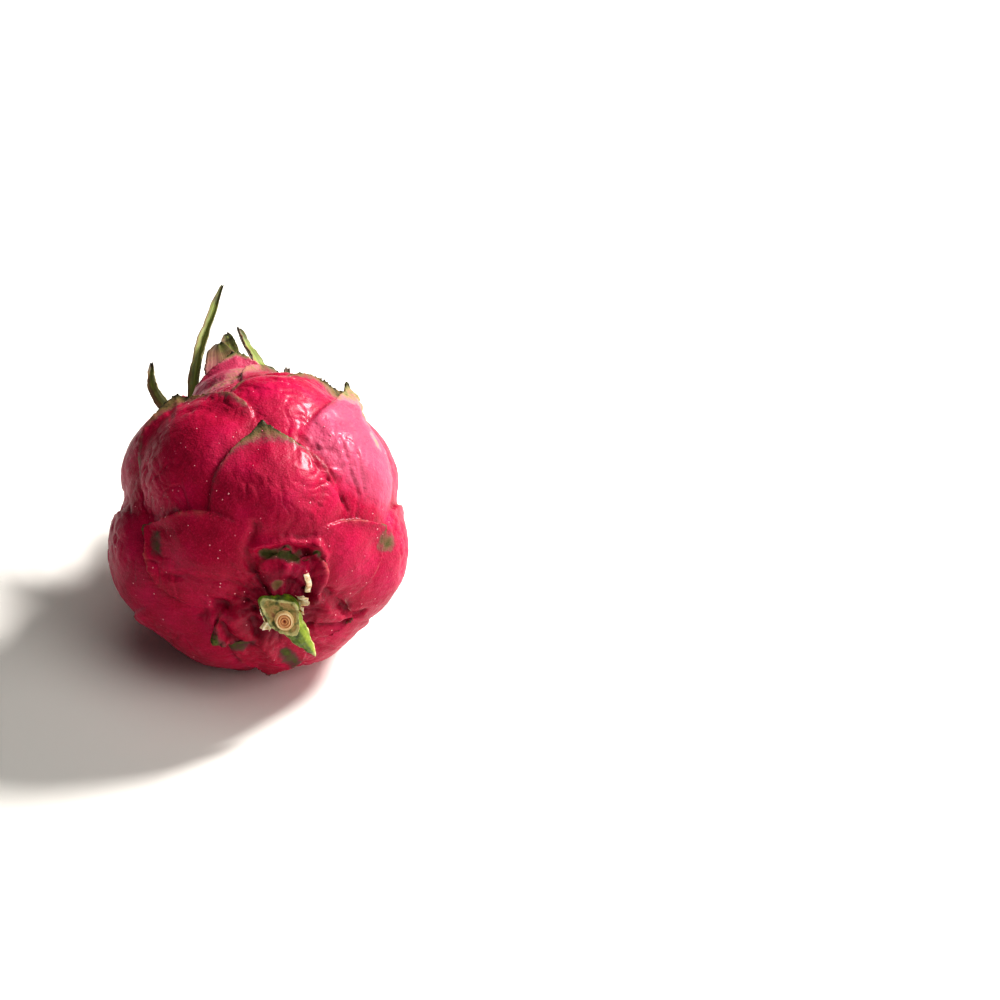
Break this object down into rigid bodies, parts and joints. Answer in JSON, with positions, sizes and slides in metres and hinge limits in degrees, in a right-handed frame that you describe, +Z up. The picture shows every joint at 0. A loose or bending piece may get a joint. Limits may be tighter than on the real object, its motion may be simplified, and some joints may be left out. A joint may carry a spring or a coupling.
{
  "type": "dragon fruit",
  "caption": "Whole red dragon fruit lying on its side: round scaly body, crown of narrow bracts round a dry flower scar, cut stem stub.",
  "frame": {"origin": "middle of the whole fruit's box, at the level of the surface it lies on", "axes": "+Z up, +Y along the fruit from the stem towards the crown, 4 degrees short of its axis, +X to the right seen from the stem"},
  "size_m": [0.0933, 0.1506, 0.0898],
  "materials": {
    "fruit_skin": "satin",
    "stem_rind": "satin",
    "stem_wood": "matte",
    "dry_scar": "matte"
  },
  "bodies": {
    "root": {"fruit": "fruit_skin", "stem_rind": "stem_rind", "stem_core": "stem_wood", "flower_scar": "dry_scar"}
  },
  "joints": []
}
